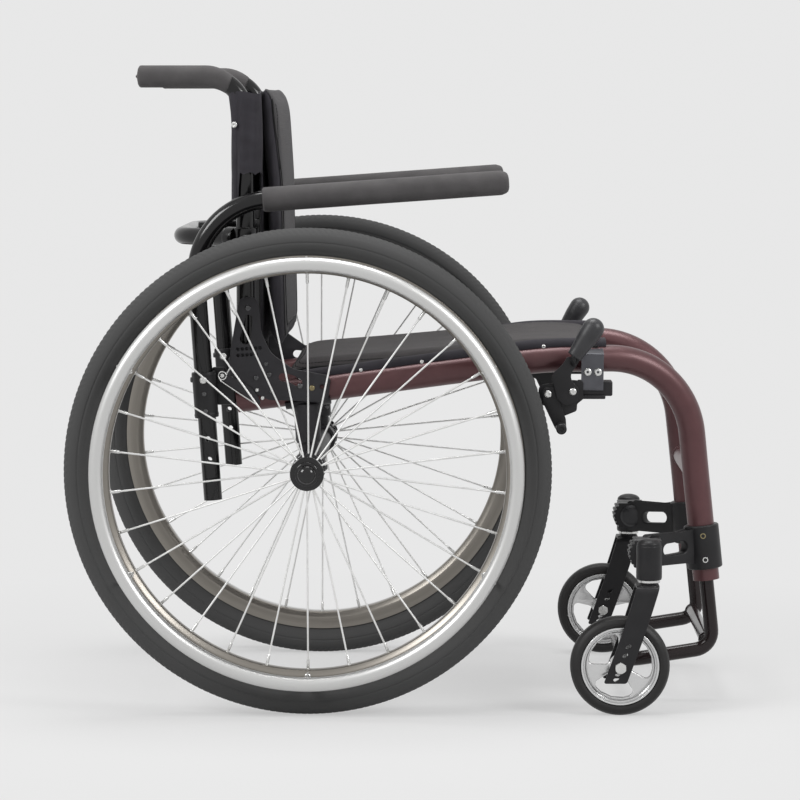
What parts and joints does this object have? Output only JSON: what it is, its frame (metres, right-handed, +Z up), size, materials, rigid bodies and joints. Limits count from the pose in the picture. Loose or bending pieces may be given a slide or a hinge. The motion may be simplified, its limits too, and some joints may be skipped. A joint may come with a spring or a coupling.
{
  "type": "active wheelchair",
  "caption": "Rigid-frame active wheelchair with an open side frame, spoked rear wheels with handrims, small front casters, a fold-down back, swing-away armrests and a slide-in footrest.",
  "frame": {"origin": "on the floor, in the middle of the chair's length and width", "axes": "+X forward, +Y to the user's left, +Z up"},
  "size_m": [0.8352, 0.612, 0.8133],
  "materials": {
    "frame_paint": "satin metallic maroon paint",
    "black_paint": "gloss black powder coat",
    "dark_metal": "dark anodised",
    "satin_aluminium": "satin anodised",
    "rim_metal": "brushed",
    "spoke_steel": "bright drawn wire",
    "bright_steel": "zinc plated",
    "caster_metal": "machined",
    "tyre_rubber": "matt",
    "grip_rubber": "matt",
    "foam": "matt closed-cell foam",
    "black_plastic": "gloss",
    "seat_fabric": "woven nylon",
    "back_fabric": "woven nylon"
  },
  "bodies": {
    "frame": {"right_side_frame": "frame_paint", "right_seat_rail": "black_plastic", "right_back_bracket": "dark_metal", "right_armrest_receiver": "dark_metal", "right_axle_stem": "dark_metal", "right_axle_pin": "bright_steel", "right_caster_arm": "dark_metal", "right_caster_housing": "dark_metal", "right_lock_mount": "dark_metal", "right_lock_plate": "black_paint", "left_side_frame": "frame_paint", "left_seat_rail": "black_plastic", "left_back_bracket": "dark_metal", "left_armrest_receiver": "dark_metal", "left_axle_stem": "dark_metal", "left_axle_pin": "bright_steel", "left_caster_arm": "dark_metal", "left_caster_housing": "dark_metal", "left_lock_mount": "dark_metal", "left_lock_plate": "black_paint", "front_cross_tube": "frame_paint", "camber_tube": "dark_metal", "seat_sling": "seat_fabric"},
    "backrest": {"back_upholstery": "back_fabric", "stabiliser_bar": "black_paint", "right_back_post": "black_paint", "right_push_grip": "foam", "left_back_post": "black_paint", "left_push_grip": "foam"},
    "footrest_loop": {"footrest": "black_paint"},
    "right_wheel": {"right_hub_and_spokes": "spoke_steel", "right_rim": "rim_metal", "right_tyre": "tyre_rubber", "right_handrim": "satin_aluminium"},
    "right_button": {"right_axle_button": "black_plastic"},
    "right_swivel": {"right_caster_fork": "black_paint", "right_caster_axle": "bright_steel"},
    "right_roller": {"right_caster_wheel": "caster_metal", "right_caster_tyre": "tyre_rubber"},
    "right_lock": {"right_lock_lever": "black_paint", "right_lever_grip": "grip_rubber"},
    "right_shoe": {"right_shoe_arm": "black_paint"},
    "right_armrest": {"right_armrest_tube": "black_paint", "right_armrest_pad": "foam"},
    "right_latch": {"right_latch_lever": "bright_steel"},
    "left_wheel": {"left_hub_and_spokes": "spoke_steel", "left_rim": "rim_metal", "left_tyre": "tyre_rubber", "left_handrim": "satin_aluminium"},
    "left_button": {"left_axle_button": "black_plastic"},
    "left_swivel": {"left_caster_fork": "black_paint", "left_caster_axle": "bright_steel"},
    "left_roller": {"left_caster_wheel": "caster_metal", "left_caster_tyre": "tyre_rubber"},
    "left_lock": {"left_lock_lever": "black_paint", "left_lever_grip": "grip_rubber"},
    "left_shoe": {"left_shoe_arm": "black_paint"},
    "left_armrest": {"left_armrest_tube": "black_paint", "left_armrest_pad": "foam"},
    "left_latch": {"left_latch_lever": "bright_steel"}
  },
  "joints": [
    {"name": "backrest_fold", "type": "hinge", "parent": "frame", "child": "backrest", "pos_m": [-0.19255, 0, 0.44], "axis": [0, 1, 0], "range_deg": [0, 26]},
    {"name": "footrest_height", "type": "slide", "parent": "frame", "child": "footrest_loop", "axis": [-0.1045, 0, 0.9945], "range_m": [-0.03, 0.04]},
    {"name": "right_wheel_spin", "type": "hinge", "parent": "frame", "child": "right_wheel", "pos_m": [-0.11155, -0.255, 0.306], "axis": [0, 1, 0], "continuous": true},
    {"name": "right_button_press", "type": "slide", "parent": "frame", "child": "right_button", "axis": [0, 1, 0], "range_m": [0, 0.003], "stiffness_N_per_m": 600},
    {"name": "right_caster_swivel", "type": "hinge", "parent": "frame", "child": "right_swivel", "pos_m": [0.31645, -0.2545, 0.19], "axis": [0, 0, 1], "continuous": true},
    {"name": "right_caster_spin", "type": "hinge", "parent": "right_swivel", "child": "right_roller", "pos_m": [0.28045, -0.2545, 0.0625], "axis": [0, 1, 0], "continuous": true},
    {"name": "right_lock_throw", "type": "hinge", "parent": "frame", "child": "right_lock", "pos_m": [0.22105, -0.2253, 0.4052], "axis": [0, 1, 0], "range_deg": [0, 60]},
    {"name": "right_shoe_press", "type": "hinge", "parent": "frame", "child": "right_shoe", "pos_m": [0.19005, -0.2216, 0.4017], "axis": [0, 1, 0], "range_deg": [0, 11]},
    {"name": "right_armrest_swing", "type": "hinge", "parent": "frame", "child": "right_armrest", "pos_m": [-0.24122, -0.218, 0.388], "axis": [0.0715, 0, -0.9974], "range_deg": [0, 90]},
    {"name": "right_latch_release", "type": "hinge", "parent": "frame", "child": "right_latch", "pos_m": [-0.22055, -0.214, 0.424], "axis": [0, 1, 0], "range_deg": [0, 12], "stiffness_Nm_per_rad": 0.3},
    {"name": "left_wheel_spin", "type": "hinge", "parent": "frame", "child": "left_wheel", "pos_m": [-0.11155, 0.255, 0.306], "axis": [0, 1, 0], "continuous": true},
    {"name": "left_button_press", "type": "slide", "parent": "frame", "child": "left_button", "axis": [0, -1, 0], "range_m": [0, 0.003], "stiffness_N_per_m": 600},
    {"name": "left_caster_swivel", "type": "hinge", "parent": "frame", "child": "left_swivel", "pos_m": [0.31645, 0.2545, 0.19], "axis": [0, 0, 1], "continuous": true},
    {"name": "left_caster_spin", "type": "hinge", "parent": "left_swivel", "child": "left_roller", "pos_m": [0.28045, 0.2545, 0.0625], "axis": [0, 1, 0], "continuous": true},
    {"name": "left_lock_throw", "type": "hinge", "parent": "frame", "child": "left_lock", "pos_m": [0.22105, 0.2253, 0.4052], "axis": [0, 1, 0], "range_deg": [0, 60]},
    {"name": "left_shoe_press", "type": "hinge", "parent": "frame", "child": "left_shoe", "pos_m": [0.19005, 0.2216, 0.4017], "axis": [0, 1, 0], "range_deg": [0, 11]},
    {"name": "left_armrest_swing", "type": "hinge", "parent": "frame", "child": "left_armrest", "pos_m": [-0.24122, 0.218, 0.388], "axis": [-0.0715, 0, 0.9974], "range_deg": [0, 90]},
    {"name": "left_latch_release", "type": "hinge", "parent": "frame", "child": "left_latch", "pos_m": [-0.22055, 0.214, 0.424], "axis": [0, 1, 0], "range_deg": [0, 12], "stiffness_Nm_per_rad": 0.3}
  ],
  "couplings": [
    {"joint": "right_shoe_press", "follows": "right_lock_throw", "ratio": 0.18333},
    {"joint": "left_shoe_press", "follows": "left_lock_throw", "ratio": 0.18333}
  ]
}
